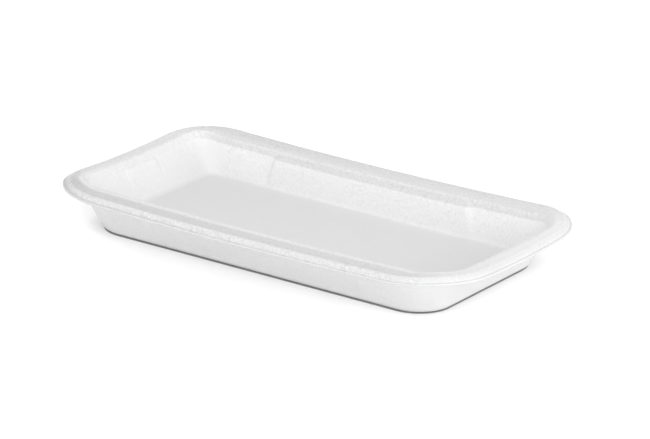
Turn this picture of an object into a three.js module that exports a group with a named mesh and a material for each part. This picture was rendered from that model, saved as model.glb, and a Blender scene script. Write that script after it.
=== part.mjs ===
// A shallow oblong meat tray, thermoformed from one sheet of foam. It rests on the XY plane, open side up,
// with its length along X. All sizes are in millimetres.
import * as THREE from 'three';

// Whole tray, measured over the cut edge of the rim.
const length = 273;
const width = 148.4;
const rimHeight = 26.2; // top of the rim above the table, where the corners begin
const cornerRadius = 37.5; // cut edge, in plan

// Sheet.
const floorThickness = 3.6;
const wallThickness = 4.6;
const rimThickness = 3.4;
const cutThickness = 1.2; // where the trim has squeezed the edge

// Rim section, from the inside of the tray outwards.
const endRimWidth = 12.2; // cut edge to the top of the wall
const sideRimWidth = 17.8;
const landFall = 0.2; // slope of the flat land, outwards
const rollInset = 4; // where the land turns down
const kneeInset = 2; // where the roll turns steep
const kneeDrop = 1.5; // the same, below the rim's top
const brimDrop = 2.6; // brim below the rim's top
const brimWidth = 1.4; // small ledge left outside the roll
const brimFall = 0.1;
const underInset = 5; // inner end of the slope under the roll

// The rim dips between the corners and is highest in the middle of each corner.
const sideDip = 1.4;
const endDip = 1;
const cornerLift = 1.3;

// Walls. The draft is measured from the vertical.
const endDraft = 32.5;
const sideDraft = 12.2;
const crestRadius = 15; // inside corner of the walls at their top, in plan
const footRadius = 8; // the same at the floor
const baseRadius = 20; // outside corner of the walls at the table

// Stiffening panels pressed into the walls: a long one in each side, a faint one in each end.
const ledgeDrop = 1.8; // top of both panels below the rim
const ledgeFall = 2.8; // drop across the sloping ledge over the panel
const sidePanelLength = 141; // at the floor
const sidePanelTop = 131; // length at the ledge
const sidePanelDepth = 3.6; // at the ledge
const sidePanelFoot = 0.3; // at the floor
const sideRecessDepth = 0.9; // shallow, on the outside of the same wall
const endPanelLength = 27;
const endPanelDepth = 1;
const endRecessDepth = 0.3;
const sideFlank = 4; // length over which a panel rises from its wall
const endFlank = 2;

// Roundings along the section, as the length taken off each side of the corner.
const floorRound = 2.2;
const crestRound = 3.5;
const rollRound = 0.7;
const kneeRound = 0.9;
const underRound = 1.6;
const baseRound = 3;
const ledgeRound = 0.7;
const recessRound = 0.4;
const edgeRound = 0.3;

// How finely curves are cut.
const cornerSteps = 9;
const flankSteps = 3;
const sideSteps = 4;
const endSteps = 2;
const plainSteps = 2;

const slope = (degrees) => Math.tan(THREE.MathUtils.degToRad(degrees));
const mix = THREE.MathUtils.lerp;
const ease = (t) => t * t * (3 - 2 * t);
const unit = (t) => Math.min(Math.max(t, 0), 1);

// One corner of the sheet's section. The insets run inwards from the cut edge, at the ends and at the sides
// of the tray; round is the size of the rounding and steps the number of cuts in it.
function corner(endInset, sideInset, planRadius, z, round, steps, sidePush = 0, endPush = 0) {
  return { at: [endInset, sideInset, planRadius, z, sidePush, endPush], round, steps };
}

// Length of a side panel at one height: it narrows from the floor to the ledge.
function sidePanelAt(z) {
  const panelHeight = rimHeight - ledgeDrop - floorThickness;
  return mix(sidePanelLength, sidePanelTop, unit((z - floorThickness) / panelHeight));
}

// A corner on the wall's inner face, or on its outer face when the thickness is given.
function wallCorner(z, thickness, round, steps, sidePush, endPush) {
  const down = rimHeight - z;
  const endInset = endRimWidth + down * slope(endDraft) - thickness * Math.hypot(1, slope(endDraft));
  const sideInset = sideRimWidth + down * slope(sideDraft) - thickness * Math.hypot(1, slope(sideDraft));
  const planRadius = thickness
    ? mix(crestRadius + thickness, baseRadius, down / rimHeight)
    : mix(crestRadius, footRadius, down / (rimHeight - floorThickness));
  return corner(endInset, sideInset, planRadius, z, round, steps, sidePush, endPush);
}

// A corner on the rim outside the crest, where it keeps the same width all the way round.
function rimCorner(inset, z, round, steps) {
  return corner(inset, inset, cornerRadius - inset, z, round, steps);
}

// The section: up from the floor, over the rim, round the cut edge and back along the underside.
function sectionCorners() {
  const ledge = rimHeight - ledgeDrop;
  const underLedge = ledge - rimThickness;
  const brim = rimHeight - brimDrop;
  const edge = brim - brimFall;
  const underRim = rimHeight - rimThickness;
  return [
    wallCorner(floorThickness, 0, floorRound, 5, sidePanelFoot, 0),
    wallCorner(ledge - ledgeFall, 0, ledgeRound, 2, sidePanelDepth, endPanelDepth),
    wallCorner(ledge, 0, ledgeRound, 2, 0, 0),
    corner(endRimWidth, sideRimWidth, crestRadius, rimHeight, crestRound, 4),
    rimCorner(rollInset, rimHeight - landFall, rollRound, 3),
    rimCorner(kneeInset, rimHeight - kneeDrop, kneeRound, 3),
    rimCorner(brimWidth, brim, edgeRound, 2),
    rimCorner(0, edge, edgeRound / 2, 1),
    rimCorner(0, edge - cutThickness, edgeRound, 1),
    rimCorner(underInset, underRim, underRound, 1),
    wallCorner(underRim, wallThickness, underRound, 2, 0, 0),
    wallCorner(underLedge, wallThickness, recessRound, 2, 0, 0),
    wallCorner(underLedge - ledgeFall, wallThickness, recessRound, 2, sideRecessDepth, endRecessDepth),
    wallCorner(0, wallThickness, baseRound, 4, 0, 0),
  ];
}

// A place on the flat floor or base, inwards of the corner where the flat ends.
function flatBeside({ at: [endInset, sideInset, planRadius, ...rest], round }) {
  return [endInset + 2 * round, sideInset + 2 * round, planRadius - 2 * round, ...rest];
}

// The section's corners rounded off, each as a curve that starts and ends on its straight neighbours.
function roundedSection(corners) {
  const line = [flatBeside(corners[0]), ...corners.map((c) => c.at), flatBeside(corners.at(-1))];
  const stations = [];
  corners.forEach(({ at, round, steps }, i) => {
    const [before, after] = [line[i], line[i + 2]].map((next) => {
      const reach = Math.hypot(next[1] - at[1], next[3] - at[3], next[4] - at[4]);
      const share = Math.min(round / reach, 0.5);
      return at.map((value, k) => mix(value, next[k], share));
    });
    for (let step = 0; step <= steps; step += 1) {
      const t = step / steps;
      stations.push(at.map((value, k) => mix(mix(before[k], value, t), mix(value, after[k], t), t)));
    }
  });
  return stations;
}

// Places along half a straight side, from its middle outwards. Each is a share of one of three parts: the
// panel, its flank and the plain wall beyond.
function straightPlaces(panelSteps) {
  const cuts = [panelSteps, flankSteps, plainSteps];
  return cuts.flatMap((count, part) => Array.from({ length: count }, (_, i) => ({ part, share: i / count })));
}

// How far from the middle of its side such a place lies.
function alongStraight({ part, share }, panelLength, flank, straight) {
  const start = (panelLength - flank) / 2;
  const stops = [0, start, start + flank, straight];
  return mix(stops[part], stops[part + 1], share);
}

// How far a panel is pushed in at such a place: fully over the panel, eased off at the flank.
function pushShare({ part, share }) {
  return [1, 1 - ease(share), 0][part];
}

// One quarter of the outline, from the middle of the end to the middle of the side. A point on a straight
// has its place there, and a point in the corner has its angle.
function quarterOutline() {
  const onEnd = straightPlaces(endSteps).map((place) => ({ onEnd: place }));
  const turn = Math.PI / 2 / cornerSteps;
  const turning = Array.from({ length: cornerSteps + 1 }, (_, i) => ({ angle: i * turn }));
  const onSide = straightPlaces(sideSteps).map((place) => ({ onSide: place }));
  return [...onEnd, ...turning, ...onSide.reverse()];
}

// Height of the rim's edge line under its plain height, part of the way from the middle of a straight.
function dipAt(dip, share) {
  return dip * (1 - share ** 2);
}

// A point of the tray's first quarter for one station of the section and one place on the outline.
function quarterPoint([endInset, sideInset, planRadius, z, sidePush, endPush], { onEnd, onSide, angle }) {
  const sideStraight = length / 2 - endInset - planRadius;
  const endStraight = width / 2 - sideInset - planRadius;
  const rise = unit((z - floorThickness) / (rimHeight - rimThickness - floorThickness));
  if (onSide) {
    const x = alongStraight(onSide, sidePanelAt(z), sideFlank, sideStraight);
    const y = width / 2 - sideInset - sidePush * pushShare(onSide);
    return [x, y, z - rise * dipAt(sideDip, x / sideStraight)];
  }
  if (onEnd) {
    const x = length / 2 - endInset - endPush * pushShare(onEnd);
    const y = alongStraight(onEnd, endPanelLength, endFlank, endStraight);
    return [x, y, z - rise * dipAt(endDip, y / endStraight)];
  }
  const x = sideStraight + planRadius * Math.cos(angle);
  const y = endStraight + planRadius * Math.sin(angle);
  return [x, y, z + rise * cornerLift * Math.sin(2 * angle)];
}

// The whole ring for one station: the quarter repeated by mirroring, anticlockwise from above.
function ring(station, outline) {
  const first = outline.map((place) => quarterPoint(station, place));
  const second = first.slice(0, -1).reverse().map(([x, y, z]) => [-x, y, z]);
  const upper = [...first, ...second];
  const lower = upper.slice(1, -1).reverse().map(([x, y, z]) => [x, -y, z]);
  return [...upper, ...lower];
}

// The closed skin of the sheet: a fan on the floor, bands from ring to ring, and a fan on the base.
function sheetGeometry() {
  const outline = quarterOutline();
  const rings = roundedSection(sectionCorners()).map((station) => ring(station, outline));
  const count = rings[0].length;
  const positions = [[0, 0, floorThickness], ...rings.flat(), [0, 0, 0]];
  const last = positions.length - 1;
  const at = (band, i) => 1 + band * count + (i % count);
  const faces = [];
  for (let i = 0; i < count; i += 1) {
    faces.push(0, at(0, i), at(0, i + 1));
    faces.push(last, at(rings.length - 1, i + 1), at(rings.length - 1, i));
    for (let band = 0; band < rings.length - 1; band += 1) {
      faces.push(at(band, i), at(band + 1, i), at(band + 1, i + 1));
      faces.push(at(band, i), at(band + 1, i + 1), at(band, i + 1));
    }
  }
  const geometry = new THREE.BufferGeometry();
  geometry.setAttribute('position', new THREE.Float32BufferAttribute(positions.flat(), 3));
  geometry.setIndex(faces);
  geometry.computeVertexNormals();
  return geometry;
}

const foam = new THREE.MeshStandardMaterial({ color: 0xf4f4f2, roughness: 0.7 });
const tray = new THREE.Mesh(sheetGeometry(), foam);
tray.name = 'foam_tray';

const group = new THREE.Group();
group.add(tray);

export default group;
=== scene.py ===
import math

import bpy
import numpy as np
from mathutils import Matrix, Vector, noise


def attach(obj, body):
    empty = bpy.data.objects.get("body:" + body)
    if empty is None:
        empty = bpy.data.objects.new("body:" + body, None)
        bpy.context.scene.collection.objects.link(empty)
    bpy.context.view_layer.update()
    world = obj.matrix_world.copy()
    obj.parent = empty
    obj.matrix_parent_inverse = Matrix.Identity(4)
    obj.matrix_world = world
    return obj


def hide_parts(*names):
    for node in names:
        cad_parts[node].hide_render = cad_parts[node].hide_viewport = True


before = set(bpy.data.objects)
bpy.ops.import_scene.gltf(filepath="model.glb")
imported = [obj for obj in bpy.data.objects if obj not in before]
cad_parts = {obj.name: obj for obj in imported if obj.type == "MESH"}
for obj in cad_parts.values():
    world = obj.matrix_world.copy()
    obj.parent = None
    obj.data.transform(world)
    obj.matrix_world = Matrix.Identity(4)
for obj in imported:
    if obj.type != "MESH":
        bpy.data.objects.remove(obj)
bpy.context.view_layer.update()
scene = bpy.context.scene
mm = 0.001
print("frame loaded:", sorted(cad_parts))


# Wraps the output of a node, so that sums on masks read as sums.
class Wire:
    def __init__(self, tree, socket):
        self.tree = tree
        self.socket = socket

    def combine(self, operation, *values):
        return addNode(self.tree, "ShaderNodeMath", {"operation": operation}, dict(enumerate(values)))

    def orMore(self, other):
        return self.combine("MAXIMUM", self, other)

    def __add__(self, other):
        return self.combine("ADD", self, other)

    def __sub__(self, other):
        return self.combine("SUBTRACT", self, other)

    def __rsub__(self, other):
        return self.combine("SUBTRACT", other, self)

    def __mul__(self, other):
        return self.combine("MULTIPLY", self, other)

    def __pow__(self, other):
        return self.combine("POWER", self, other)

    def __abs__(self):
        return self.combine("ABSOLUTE", self)

    __radd__ = __add__
    __rmul__ = __mul__


# Adds one node: its settings first, then the values or links of its sockets.
def addNode(tree, kind, settings=None, sockets=None, output=0):
    node = tree.nodes.new(kind)
    for name, value in (settings or {}).items():
        setattr(node, name, value)
    for name, value in (sockets or {}).items():
        if isinstance(value, Wire):
            tree.links.new(value.socket, node.inputs[name])
        else:
            node.inputs[name].default_value = value
    return Wire(tree, node.outputs[output]) if len(node.outputs) else None


def newMaterial(name):
    material = bpy.data.materials.new(name)
    material.use_nodes = True
    material.node_tree.nodes.clear()
    return material


# A number from one range spread softly over another, held at its ends.
def remap(wire, low, high, newLow, newHigh):
    sockets = {"Value": wire, "From Min": low, "From Max": high, "To Min": newLow, "To Max": newHigh}
    return addNode(wire.tree, "ShaderNodeMapRange", {"interpolation_type": "SMOOTHSTEP"}, sockets)


def mixColors(share, first, second):
    settings = {"data_type": "RGBA", "blend_type": "MIX"}
    return addNode(share.tree, "ShaderNodeMix", settings, {0: share, 6: first, 7: second}, 2)


# Millimetres along one of the object's own axes.
def alongAxis(tree, axis):
    place = addNode(tree, "ShaderNodeTexCoord", output="Object")
    return addNode(tree, "ShaderNodeSeparateXYZ", None, {"Vector": place}, axis) * (1 / mm)


# The tray, in millimetres and degrees. A place is explained above the finishes.
tray = {
    "length": 273,
    "width": 148.4,
    "rimHeight": 26.2,
    "cornerRadius": 37.5,
    "floorThickness": 3.6,
    "wallThickness": 4.6,
    "rimThickness": 3.4,
    "cutThickness": 1.2,
    "endRimWidth": 12.2,
    "sideRimWidth": 17.8,
    "landFall": 0.2,
    "rollInset": 4,
    "kneeInset": 2,
    "kneeDrop": 1.5,
    "brimDrop": 2.6,
    "brimWidth": 1.4,
    "brimFall": 0.1,
    "underInset": 5,
    "sideDip": 1.4,  # of the rim, between its corners
    "endDip": 1,
    "cornerLift": 1.3,
    "endDraft": 32.5,  # from the vertical
    "sideDraft": 12.2,
    "crestRadius": 15,
    "footRadius": 8,
    "baseRadius": 20,
    "ledgeDrop": 1.8,
    "ledgeFall": 2.8,
    "sidePanelLength": 141,
    "sidePanelTop": 131,
    "panelCorner": 4,  # how much the upper corners of a panel are rounded off
    "sidePanelDepth": 3.6,
    "sidePanelFoot": 0.3,
    "sideRecessDepth": 0.9,
    "endPanelLength": 27,
    "endPanelDepth": 1,
    "endRecessDepth": 0.3,
    "sideFlank": 4,
    "endFlank": 2,
    "floorRound": 2.2,
    "crestRound": 3.5,
    "rollRound": 0.7,
    "kneeRound": 0.9,
    "underRound": 1.6,
    "baseRound": 3,
    "ledgeRound": 0.7,
    "recessRound": 0.4,
    "edgeRound": 0.3,
    "roundingSteps": (10, 4, 4, 12, 6, 6, 3, 2, 3, 4, 5, 4, 4, 7),  # cuts at each corner of the section
    "cornerSteps": 30,  # cuts round each corner in plan
    "spacing": 2.2,  # how finely straight stretches are cut
    "flankSpacing": 0.5,
    "flatRings": (0.88, 0.7, 0.45, 0.2),  # rings on the flat floor and base, as shares of its size
    # Painted light and shade gained towards one end and towards one side, by place.
    "paintedShadingRight": (
        (0, 0.03), (0.1, 0), (3.2, 0), (3.4, 0.05), (4, 0.05), (4.2, 0), (5.3, 0), (6, 0.11), (7, 0),
    ),
    "paintedShadingBack": ((2.9, 0), (3.1, -0.05), (3.32, -0.05), (3.45, 0.05), (4, 0.05), (4.2, 0)),
    "rimPlaces": ((3.2, 0), (3.5, 1), (7, 1), (8, 0)),  # which places are on the rim
    "paintedShadeCorner": (-124, -60),  # one corner of the rim carries a little painted shade
    "paintedShadeReach": 15,
    "paintedShadeDepth": 0.15,
    "calmRight": (75, 125),  # the rim's skin grows calmer towards the right end
    "calmRim": 0.4,
    "calmBeyond": 104,  # the end walls have a calmer skin
    "calmGrain": 0.5,
    "waveHeight": 0.07,  # slow unevenness of the formed sheet
    "waveLength": 22,
    "evenBelow": 1.5,  # the sheet is even up to here above the table
    "evenFade": 3,  # and fully uneven this much higher
    "edgeWaveHeight": 0.12,  # unevenness of the trimmed edge
    "edgeWaveLength": 7,
    "edgeWaveStart": (7, 3, 1),
}


def slope(degrees):
    return math.tan(math.radians(degrees))


# One corner of the sheet's section: insets from the cut edge at the ends and sides, plan radius, height and the
# push of the panels, with its rounding.
def sectionCorner(endInset, sideInset, planRadius, z, rounding, pushes=(0, 0)):
    return [endInset, sideInset, planRadius, z, *pushes], rounding


# Insets of a wall at one height, at the ends and at the sides: of its inner face, or of its outer face when the
# thickness is given.
def wallInsets(z, thickness):
    insets = []
    for rim, draft in (("endRimWidth", "endDraft"), ("sideRimWidth", "sideDraft")):
        lean = slope(tray[draft])
        insets.append(tray[rim] + (tray["rimHeight"] - z) * lean - thickness * math.hypot(1, lean))
    return insets


def wallCorner(z, thickness, rounding, pushes=(0, 0)):
    t = tray
    if thickness:
        top, foot, height = t["crestRadius"] + thickness, t["baseRadius"], t["rimHeight"]
    else:
        top, foot, height = t["crestRadius"], t["footRadius"], t["rimHeight"] - t["floorThickness"]
    planRadius = top + (foot - top) * (t["rimHeight"] - z) / height
    return sectionCorner(*wallInsets(z, thickness), planRadius, z, rounding, pushes)


def rimCorner(inset, z, rounding):
    return sectionCorner(inset, inset, tray["cornerRadius"] - inset, z, rounding)


# The section: up from the floor, over the rim, round the cut edge and back along the underside.
def sectionCorners():
    t = tray
    top = t["rimHeight"]
    thick = t["wallThickness"]
    ledge = top - t["ledgeDrop"]
    underLedge = ledge - t["rimThickness"]
    brim = top - t["brimDrop"]
    edge = brim - t["brimFall"]
    underRim = top - t["rimThickness"]
    panels = (t["sidePanelDepth"], t["endPanelDepth"])
    recesses = (t["sideRecessDepth"], t["endRecessDepth"])
    return [
        wallCorner(t["floorThickness"], 0, t["floorRound"], (t["sidePanelFoot"], 0)),
        wallCorner(ledge - t["ledgeFall"], 0, t["ledgeRound"], panels),
        wallCorner(ledge, 0, t["ledgeRound"]),
        sectionCorner(t["endRimWidth"], t["sideRimWidth"], t["crestRadius"], top, t["crestRound"]),
        rimCorner(t["rollInset"], top - t["landFall"], t["rollRound"]),
        rimCorner(t["kneeInset"], top - t["kneeDrop"], t["kneeRound"]),
        rimCorner(t["brimWidth"], brim, t["edgeRound"]),
        rimCorner(0, edge, t["edgeRound"] / 2),
        rimCorner(0, edge - t["cutThickness"], t["edgeRound"]),
        rimCorner(t["underInset"], underRim, t["underRound"]),
        wallCorner(underRim, thick, t["underRound"]),
        wallCorner(underLedge, thick, t["recessRound"]),
        wallCorner(underLedge - t["ledgeFall"], thick, t["recessRound"], recesses),
        wallCorner(0, thick, t["baseRound"]),
    ]


# Finish along the section. A place is a whole number at each corner of the section, counted from the one
# where the floor meets the wall, and runs evenly between them. For each place: how far the skin is stretched,
# how much of it is trimmed edge, and the painted light and shade along the sides and at the ends: a tone that
# makes each part lighter or darker as light falls on it.
finishes = [
    (-1, 0.1, 0, 0.965, 0.965),  # floor
    (0, 0.3, 0, 1.0, 0.975),
    (1, 0.5, 0, 1.03, 0.965),  # top of the panel
    (1.2, 0.7, 0, 0.88, 0.955),  # ledge over it
    (2, 0.7, 0, 0.88, 0.945),
    (2.6, 0.65, 0, 0.93, 0.95),  # crest
    (3.02, 0.65, 0, 0.94, 0.96),
    (3.14, 0.6, 0, 0.975, 0.99),  # painted light line on its outside
    (3.3, 0.6, 0, 0.975, 0.99),
    (3.45, 0.65, 0, 0.875, 1.0),  # land
    (3.92, 0.8, 0, 0.84, 0.99),
    (4, 0.9, 0, 0.965, 0.95),  # roll
    (5, 1, 0, 0.915, 0.91),
    (6, 0.9, 0, 0.82, 0.85),  # brim
    (7, 0.6, 1, 0.87, 0.9),  # cut edge
    (8, 0.6, 1, 0.85, 0.88),
    (9, 0.5, 0, 1, 1),  # under the rim
    (10, 0.3, 0, 1.09, 0.9),  # outer wall
    (11, 0.25, 0, 1.07, 0.9),
    (12, 0.25, 0, 1.05, 0.9),
    (13, 0.2, 0, 0.87, 0.98),  # foot
    (14, 0.1, 0, 0.9, 0.9),  # base
]


# The flat floor or base, inwards of the corner where the flat ends.
def flatBeside(corner, place):
    at, rounding = corner
    reach = 2 * rounding
    return np.array([at[0] + reach, at[1] + reach, at[2] - reach, *at[3:], place])


# Every station of the section, from the floor over the rim to the base: roundings, and cuts in between. The
# last number of a station is its place.
def sectionStations():
    corners = sectionCorners()
    line = [flatBeside(corners[0], -1)]
    line += [np.array([*at, place], float) for place, (at, _) in enumerate(corners)]
    line += [flatBeside(corners[-1], len(corners))]
    stations = [line[0]]
    for i, ((_, rounding), steps) in enumerate(zip(corners, tray["roundingSteps"])):
        at = line[i + 1]
        ends = []
        for neighbour in (line[i], line[i + 2]):
            gap = neighbour - at
            reach = math.sqrt(gap[1] ** 2 + gap[3] ** 2 + gap[4] ** 2)
            ends.append(at + gap * min(rounding / reach, 0.5))
        before, after = ends
        addStraight(stations, before)
        for step in range(1, steps + 1):
            share = step / steps
            left = before + (at - before) * share
            right = at + (after - at) * share
            stations.append(left + (right - left) * share)
    addStraight(stations, line[-1])
    return stations


# Goes on from the last station to the next one in short steps, and stops where the finish changes.
def addStraight(stations, target):
    start = stations[-1]
    gap = target - start
    steps = max(1, math.ceil(math.hypot(gap[1], gap[3]) / tray["spacing"]))
    shares = {round(step / steps, 3) for step in range(1, steps + 1)}
    changes = [stop[0] for stop in finishes if start[-1] < stop[0] < target[-1]]
    shares |= {round((place - start[-1]) / gap[-1], 3) for place in changes}
    for share in sorted(shares - {0}):
        stations.append(start + gap * share)


# Places along half a straight side, from its middle outwards. Each is a part (0 the panel, 1 its flank, 2 the
# plain wall) and a share of it.
def straightPlaces(panelLength, flank, straight):
    start = (panelLength - flank) / 2
    spans = (start, flank, straight - start - flank)
    places = []
    for part, span in enumerate(spans):
        steps = math.ceil(span / tray["flankSpacing" if part == 1 else "spacing"])
        places += [(part, i / steps) for i in range(steps)]
    return places


# One quarter of the outline, from the middle of the end to the middle of the side. Each entry is a place on the
# side, a place on the end, or an angle in the corner.
def quarterOutline():
    endStraight = tray["width"] / 2 - tray["cornerRadius"]
    sideStraight = tray["length"] / 2 - tray["cornerRadius"]
    onEnd = straightPlaces(tray["endPanelLength"], tray["endFlank"], endStraight)
    onSide = straightPlaces(tray["sidePanelLength"], tray["sideFlank"], sideStraight)
    turns = np.linspace(0, math.pi / 2, tray["cornerSteps"] + 1)
    outline = [(None, place, None) for place in onEnd]
    outline += [(None, None, turn) for turn in turns]
    outline += [(place, None, None) for place in reversed(onSide)]
    return outline


# How far from the middle of its side a place lies.
def alongStraight(place, panelLength, flank, straight):
    part, share = place
    start = (panelLength - flank) / 2
    stops = (0, start, start + flank, straight)
    return stops[part] + share * (stops[part + 1] - stops[part])


# How far a panel is pushed in at a place: fully over the panel, eased off at the flank.
def pushShare(place):
    part, share = place
    return (1, 1 - share * share * (3 - 2 * share), 0)[part]


# Length of a side panel at one height: narrower towards the ledge, with its upper corners rounded off.
def sidePanelAt(z):
    ledge = tray["rimHeight"] - tray["ledgeDrop"]
    share = min(max((z - tray["floorThickness"]) / (ledge - tray["floorThickness"]), 0), 1)
    rounded = tray["panelCorner"] * max(0, 1 - abs(ledge - z) / tray["panelCorner"]) ** 2
    return tray["sidePanelLength"] + share * (tray["sidePanelTop"] - tray["sidePanelLength"]) - rounded


# A point of the tray's first quarter for one station of the section and one entry of the outline.
def quarterPoint(station, entry):
    endInset, sideInset, planRadius, z, sidePush, endPush = station[:6]
    onSide, onEnd, angle = entry
    sideStraight = tray["length"] / 2 - endInset - planRadius
    endStraight = tray["width"] / 2 - sideInset - planRadius
    full = tray["rimHeight"] - tray["rimThickness"] - tray["floorThickness"]
    rise = min(max((z - tray["floorThickness"]) / full, 0), 1)
    if onSide:
        x = alongStraight(onSide, sidePanelAt(z), tray["sideFlank"], sideStraight)
        y = tray["width"] / 2 - sideInset - sidePush * pushShare(onSide)
        return x, y, z - rise * tray["sideDip"] * (1 - (x / sideStraight) ** 2)
    if onEnd:
        x = tray["length"] / 2 - endInset - endPush * pushShare(onEnd)
        y = alongStraight(onEnd, tray["endPanelLength"], tray["endFlank"], endStraight)
        return x, y, z - rise * tray["endDip"] * (1 - (y / endStraight) ** 2)
    x = sideStraight + planRadius * math.cos(angle)
    y = endStraight + planRadius * math.sin(angle)
    return x, y, z + rise * tray["cornerLift"] * math.sin(2 * angle)


# The ring of points for one station: the quarter repeated by mirroring.
def ringPoints(station, outline):
    first = [quarterPoint(station, entry) for entry in outline]
    second = [(-x, y, z) for x, y, z in reversed(first[:-1])]
    upper = first + second
    lower = [(x, -y, z) for x, y, z in reversed(upper[1:-1])]
    return upper + lower


# Smaller and smaller rings on the flat floor or base.
def flatRings(ring):
    return [[(x * share, y * share, z) for x, y, z in ring] for share in tray["flatRings"]]


# How far each point of a ring belongs to an end rather than a side of the tray.
def endShares(outline):
    first = []
    for onSide, onEnd, angle in outline:
        first.append(0 if onSide else 1 if onEnd else math.cos(angle) ** 2)
    upper = first + first[-2::-1]
    return upper + upper[-2:0:-1]


# Skin, cut edge and painted shading at every point. Parts of the rim and floor get painted light and shade
# towards one end and one side, and one corner of the rim gets painted shade.
def pointFinish(stations, outline, points):
    shares = endShares(outline)
    places = [station[-1] for station in stations]

    def everyPoint(stops, values):
        return np.repeat(np.interp(places, stops, values), len(shares))

    stops, *columns = zip(*finishes)
    skin, cut, shading, endShading = [everyPoint(stops, column) for column in columns]
    shading += (endShading - shading) * np.tile(shares, len(stations))
    x, y, z = points.T
    # Painted light and shade that changes towards the right end and towards the back side.
    shading *= 1 + everyPoint(*zip(*tray["paintedShadingRight"])) * x / (tray["length"] / 2)
    shading *= 1 + everyPoint(*zip(*tray["paintedShadingBack"])) * y / (tray["width"] / 2)
    onRim = everyPoint(*zip(*tray["rimPlaces"]))
    # Painted shade, strongest at one corner of the rim and fading out round it.
    away = np.hypot(x - tray["paintedShadeCorner"][0], y - tray["paintedShadeCorner"][1])
    shading *= 1 - onRim * tray["paintedShadeDepth"] * np.exp(-((away / tray["paintedShadeReach"]) ** 2))
    skin *= 1 + onRim * (np.interp(x, tray["calmRight"], (1, tray["calmRim"])) - 1)
    onEndWall = (np.abs(x) > tray["calmBeyond"]) & (z < tray["rimHeight"] - tray["ledgeDrop"])
    skin[onEndWall] *= tray["calmGrain"]
    return {"skinStretch": skin, "cutEdge": cut, "paintedShading": shading}


# Slow unevenness along the face normals, none where the tray touches the table, and a little more in plan
# along the trimmed edge.
def unevenPlace(point, normal, cut):
    offTable = min(max(point.z / mm - tray["evenBelow"], 0) / tray["evenFade"], 1)
    slow = noise.noise(point / (tray["waveLength"] * mm)) * tray["waveHeight"] * mm
    quick = noise.noise(point / (tray["edgeWaveLength"] * mm) + Vector(tray["edgeWaveStart"]))
    outward = Vector((point.x, point.y, 0)).normalized()
    return point + normal * slow * offTable + outward * quick * cut * tray["edgeWaveHeight"] * mm


# Bands from ring to ring, closed by one face in the middle of the floor and one in the middle of the base.
def sheetFaces(ringCount, count):
    faces = []
    for start in range(0, (ringCount - 1) * count, count):
        for i in range(count):
            j = (i + 1) % count
            faces.append((start + i, start + count + i, start + count + j, start + j))
    last = (ringCount - 1) * count
    return faces + [tuple(range(count)), tuple(reversed(range(last, last + count)))]


def buildTray():
    outline = quarterOutline()
    stations = sectionStations()
    rings = [ringPoints(station, outline) for station in stations]
    rings = flatRings(rings[0])[::-1] + rings + flatRings(rings[-1])
    extra = len(tray["flatRings"])
    stations = [stations[0]] * extra + stations + [stations[-1]] * extra
    points = [point for ring in rings for point in ring]
    finish = pointFinish(stations, outline, np.array(points))
    mesh = bpy.data.meshes.new("trayShell")
    faces = sheetFaces(len(rings), len(rings[0]))
    mesh.from_pydata([tuple(value * mm for value in point) for point in points], [], faces)
    mesh.update()
    normals = [vertex.normal.copy() for vertex in mesh.vertices]
    for vertex, normal, cut in zip(mesh.vertices, normals, finish["cutEdge"]):
        vertex.co = unevenPlace(vertex.co, normal, cut)
    for name, values in finish.items():
        attribute = mesh.attributes.new(name, "FLOAT", "POINT")
        attribute.data.foreach_set("value", values.astype(np.float32))
    mesh.shade_smooth()
    mesh.update()
    shell = bpy.data.objects.new("trayShell", mesh)
    scene.collection.objects.link(shell)
    print("tray:", len(stations), "stations of", len(rings[0]), "points,", len(mesh.polygons), "faces")
    return shell


foam = {
    "color": (0.86, 0.86, 0.86, 1),
    "worn": (0.80, 0.80, 0.80, 1),  # open cells on the trimmed edge
    "wornShare": 0.6,
    "grainSize": 0.6,  # mm, the skin's fine grain
    "cellSize": 1.5,  # mm, cells drawn out where the sheet is stretched
    "clumpSize": 3.6,  # mm, clumps of cells
    "patchSize": 16,  # mm, soft cloudy patches
    "unevenSize": 11.2,  # mm, calmer and livelier stretches of the skin
    "clumpDetail": 3.0,
    "patchDetail": 2.0,
    "unevenDetail": 1.0,
    "cloudRoughness": 0.55,
    "grainHeight": 0.03,  # mm
    "cellHeight": 0.16,
    "clumpHeight": 0.12,
    "patchHeight": 0.08,
    "plainGrain": 0.2,  # grain left where the sheet isn't stretched
    "cellTone": 0.28,  # how much lighter a cell's middle is than its edge
    "clumpTone": 0.16,
    "patchTone": 0.03,
    "unevenSkin": (0.3, 0.7, 0.6, 1.25),  # noise from, to, and strength of the skin from, to
    "openCells": (0.0, 0.4, 0.2, 1.0),  # cell's middle from, to, and openness from, to
    "roughness": 0.5,
    "grainRoughness": 0.12,
    "patchRoughness": 0.1,
    "cutRoughness": 0.15,
    "coat": 0.3,
    "coatRoughness": 0.27,
    "ior": 1.45,
    "subsurface": 0.12,
    "depth": 1.0,  # mm that light goes into the foam
}


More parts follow.
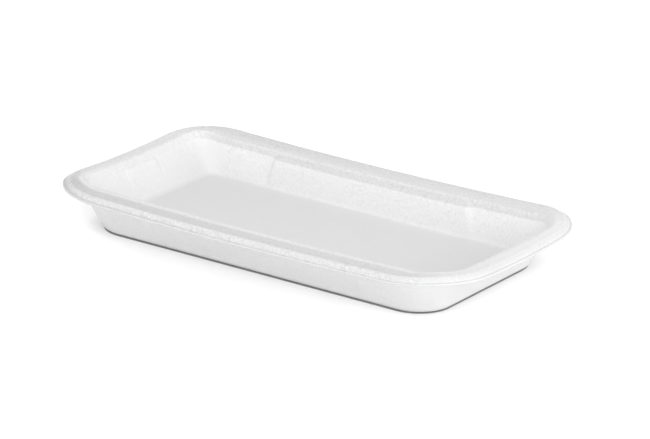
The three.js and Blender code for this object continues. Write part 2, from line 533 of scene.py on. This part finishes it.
def buildFoam():
    material = newMaterial("whiteFoam")
    tree = material.node_tree
    place = addNode(tree, "ShaderNodeTexCoord", output="Object")

    def painted(name):
        return addNode(tree, "ShaderNodeAttribute", {"attribute_name": name}, output="Fac")

    def cellular(size):
        sockets = {"Vector": place, "Scale": 1 / (size * mm), "Randomness": 1.0}
        return 0.5 - addNode(tree, "ShaderNodeTexVoronoi", {"feature": "F1"}, sockets, "Distance")

    def cloud(size, detail):
        sockets = {"Vector": place, "Scale": 1 / (size * mm), "Detail": detail}
        sockets["Roughness"] = foam["cloudRoughness"]
        return addNode(tree, "ShaderNodeTexNoise", None, sockets, "Fac")

    skin, cut, paintedLightAndShade = painted("skinStretch"), painted("cutEdge"), painted("paintedShading")
    grain = cellular(foam["grainSize"])
    cells = cellular(foam["cellSize"])
    clumps = cloud(foam["clumpSize"], foam["clumpDetail"]) - 0.5
    patches = cloud(foam["patchSize"], foam["patchDetail"]) - 0.5
    lively = skin * remap(cloud(foam["unevenSize"], foam["unevenDetail"]), *foam["unevenSkin"])
    openCells = cut * remap(cells, *foam["openCells"])

    heightCells = (cells * foam["cellHeight"] + clumps * foam["clumpHeight"]) * lively
    heightGrain = grain * (skin * (1 - foam["plainGrain"]) + foam["plainGrain"]) * foam["grainHeight"]
    height = (heightCells + heightGrain + patches * foam["patchHeight"]) * mm
    bump = addNode(tree, "ShaderNodeBump", None, {"Strength": 1.0, "Distance": 1.0, "Height": height})

    mottle = (cells * foam["cellTone"] + clumps * foam["clumpTone"]) * lively + patches * foam["patchTone"]
    # Painted light and shade: the colour is scaled by each part's painted shading and by the grain's mottle.
    scaled = {"Vector": foam["color"][:3], "Scale": (mottle + 1) * paintedLightAndShade}
    mottledAndShaded = addNode(tree, "ShaderNodeVectorMath", {"operation": "SCALE"}, scaled, "Vector")
    roughness = foam["roughness"] + grain * foam["grainRoughness"] * skin
    roughness = roughness + patches * foam["patchRoughness"] + cut * foam["cutRoughness"]
    sockets = {
        "Base Color": mixColors(openCells * foam["wornShare"], mottledAndShaded, foam["worn"]),
        "Roughness": roughness,
        "Normal": bump,
        "Coat Weight": foam["coat"],
        "Coat Roughness": foam["coatRoughness"],
        "Subsurface Weight": foam["subsurface"],
        "Subsurface Radius": (1.0, 1.0, 1.0),
        "Subsurface Scale": foam["depth"] * mm,
        "IOR": foam["ior"],
    }
    shader = addNode(tree, "ShaderNodeBsdfPrincipled", None, sockets)
    addNode(tree, "ShaderNodeOutputMaterial", None, {"Surface": shader})
    return material


shell = buildTray()
shell.data.materials.append(buildFoam())
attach(shell, "root")
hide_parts("foam_tray")
print("foam set")

# Table and light. Azimuth 0 is towards the front side and 90 towards the right end.
studio = {
    "tableColor": (0.9, 0.9, 0.9, 1),
    "contactShadowColor": (0.42, 0.42, 0.42, 1),  # painted contact shadow in the narrow gap round the tray's foot
    "contactShadowWidth": 0.45,  # mm
    "tableLiftNear": 0.13,  # brings the plain table to white away from the tray and paints soft shade near it
    "tableLiftFar": 0.36,
    "liftReach": 42,  # mm, along the sides
    "liftReachEnds": 16,
    "liftTurn": (60, 110),  # mm from the middle, where the one becomes the other
    "tableRadius": 6,
    "tableCorners": 64,
    "skyZenith": 0.49,
    "skyHorizon": 0.99,
    "skyBrightSide": 289,  # azimuth of the brighter side of the room
    "skyTilt": 0.25,
    "lamps": {
        "key": {"power": 7.2, "azimuth": 110, "elevation": 8, "distance": 1.6, "size": 0.9},
        "fill": {"power": 6.5, "azimuth": 60, "elevation": 14, "distance": 1.6, "size": 0.9},
        "top": {"power": 5.5, "azimuth": 5, "elevation": 50, "distance": 1.6, "size": 0.9},
    },
}


# One where a ray comes from the camera or off something shiny or clear.
def seenDirectly(tree):
    rays = ("Is Camera Ray", "Is Glossy Ray", "Is Transmission Ray")
    seen, shiny, clear = [addNode(tree, "ShaderNodeLightPath", output=ray) for ray in rays]
    return seen.orMore(shiny).orMore(clear)


# Distance in millimetres from the outline on which the tray's base stands, less than nought inside it.
def distanceFromFoot(tree):
    halves = (tray["length"] / 2, tray["width"] / 2)
    squares = []
    for axis, half, inset in zip("XY", halves, wallInsets(0, tray["wallThickness"])):
        beyond = abs(alongAxis(tree, axis)) - (half - inset - tray["baseRadius"])
        squares.append(beyond.orMore(0.0) ** 2)
    return (squares[0] + squares[1]) ** 0.5 - tray["baseRadius"]


def buildTable():
    count = studio["tableCorners"]
    radius = studio["tableRadius"]
    turns = [math.tau * i / count for i in range(count)]
    mesh = bpy.data.meshes.new("table")
    edge = [(radius * math.cos(turn), radius * math.sin(turn), 0) for turn in turns]
    mesh.from_pydata(edge, [], [tuple(range(count))])
    table = bpy.data.objects.new("table", mesh)
    scene.collection.objects.link(table)
    material = newMaterial("paleTable")
    tree = material.node_tree
    distance = distanceFromFoot(tree)
    # Painted contact shadow: the table's colour darkens in a narrow band round the tray's foot.
    footShadow = remap(distance, 0, studio["contactShadowWidth"], 1, 0)
    fromMiddle = abs(alongAxis(tree, "X"))
    reach = remap(fromMiddle, *studio["liftTurn"], studio["liftReach"], studio["liftReachEnds"])
    # The glow grows with distance from the foot, sooner beyond the ends, and so paints soft shade near the
    # tray.
    lift = remap(distance, 0, reach, studio["tableLiftNear"], studio["tableLiftFar"])
    sockets = {
        "Base Color": mixColors(footShadow, studio["tableColor"], studio["contactShadowColor"]),
        "Roughness": 1.0,
        "Specular IOR Level": 0.0,
        "Emission Color": lift * (1 - footShadow) * seenDirectly(tree),
        "Emission Strength": 1.0,
    }
    shader = addNode(tree, "ShaderNodeBsdfPrincipled", None, sockets)
    addNode(tree, "ShaderNodeOutputMaterial", None, {"Surface": shader})
    mesh.materials.append(material)


# A unit direction from the tray.
def directionTo(azimuth, elevation):
    a, e = math.radians(azimuth), math.radians(elevation)
    return Vector((math.sin(a) * math.cos(e), -math.cos(a) * math.cos(e), math.sin(e)))


def buildSky():
    world = bpy.data.worlds.new("softBox")
    world.use_nodes = True
    scene.world = world
    tree = world.node_tree
    tree.nodes.clear()
    direction = addNode(tree, "ShaderNodeTexCoord", output="Generated")
    upward = addNode(tree, "ShaderNodeSeparateXYZ", None, {"Vector": direction}, "Z")
    both = {0: direction, 1: directionTo(studio["skyBrightSide"], 0)}
    side = addNode(tree, "ShaderNodeVectorMath", {"operation": "DOT_PRODUCT"}, both, "Value")
    horizon = (side * studio["skyTilt"] + 1) * studio["skyHorizon"]
    light = remap(upward, 0.0, 1.0, horizon, studio["skyZenith"])
    soft = addNode(tree, "ShaderNodeBackground", None, {"Color": light, "Strength": 1.0})
    white = addNode(tree, "ShaderNodeBackground", None, {"Color": (1, 1, 1, 1), "Strength": 1.0})
    shader = addNode(tree, "ShaderNodeMixShader", None, {0: seenDirectly(tree), 1: soft, 2: white})
    addNode(tree, "ShaderNodeOutputWorld", None, {"Surface": shader})


def buildLamp(name, values):
    lamp = bpy.data.lights.new(name, "AREA")
    lamp.shape = "DISK"
    lamp.size = values["size"]
    lamp.energy = values["power"]
    holder = bpy.data.objects.new(name, lamp)
    away = directionTo(values["azimuth"], values["elevation"])
    holder.location = away * values["distance"]
    holder.rotation_euler = away.to_track_quat("Z", "Y").to_euler()
    scene.collection.objects.link(holder)


camera = {
    "azimuth": 35.33,
    "elevation": 19.89,
    "roll": -0.855,
    "distance": 2.160,
    "panRight": 0.00589,
    "panUp": 0.01372,
    "focalPixels": 3933,
    "imageWidth": 650,
    "sensor": 36,
    "clipEnd": 50,
}


def buildCamera():
    back = directionTo(camera["azimuth"], camera["elevation"])
    right = directionTo(camera["azimuth"] + 90, 0)
    up = back.cross(right)
    roll = math.radians(camera["roll"])
    across = right * math.cos(roll) - up * math.sin(roll)
    upright = right * math.sin(roll) + up * math.cos(roll)
    place = back * camera["distance"] + right * camera["panRight"] + up * camera["panUp"]
    turn = Matrix((across, upright, back)).transposed().to_4x4()
    data = bpy.data.cameras.new("camera")
    data.sensor_width = camera["sensor"]
    data.sensor_fit = "HORIZONTAL"
    data.lens = camera["focalPixels"] * camera["sensor"] / camera["imageWidth"]
    data.clip_end = camera["clipEnd"]
    holder = bpy.data.objects.new("camera", data)
    holder.matrix_world = Matrix.Translation(place) @ turn
    scene.collection.objects.link(holder)
    scene.camera = holder


buildTable()
buildSky()
for name, values in studio["lamps"].items():
    buildLamp(name, values)
buildCamera()
scene.view_settings.view_transform = "Standard"
print("studio set")
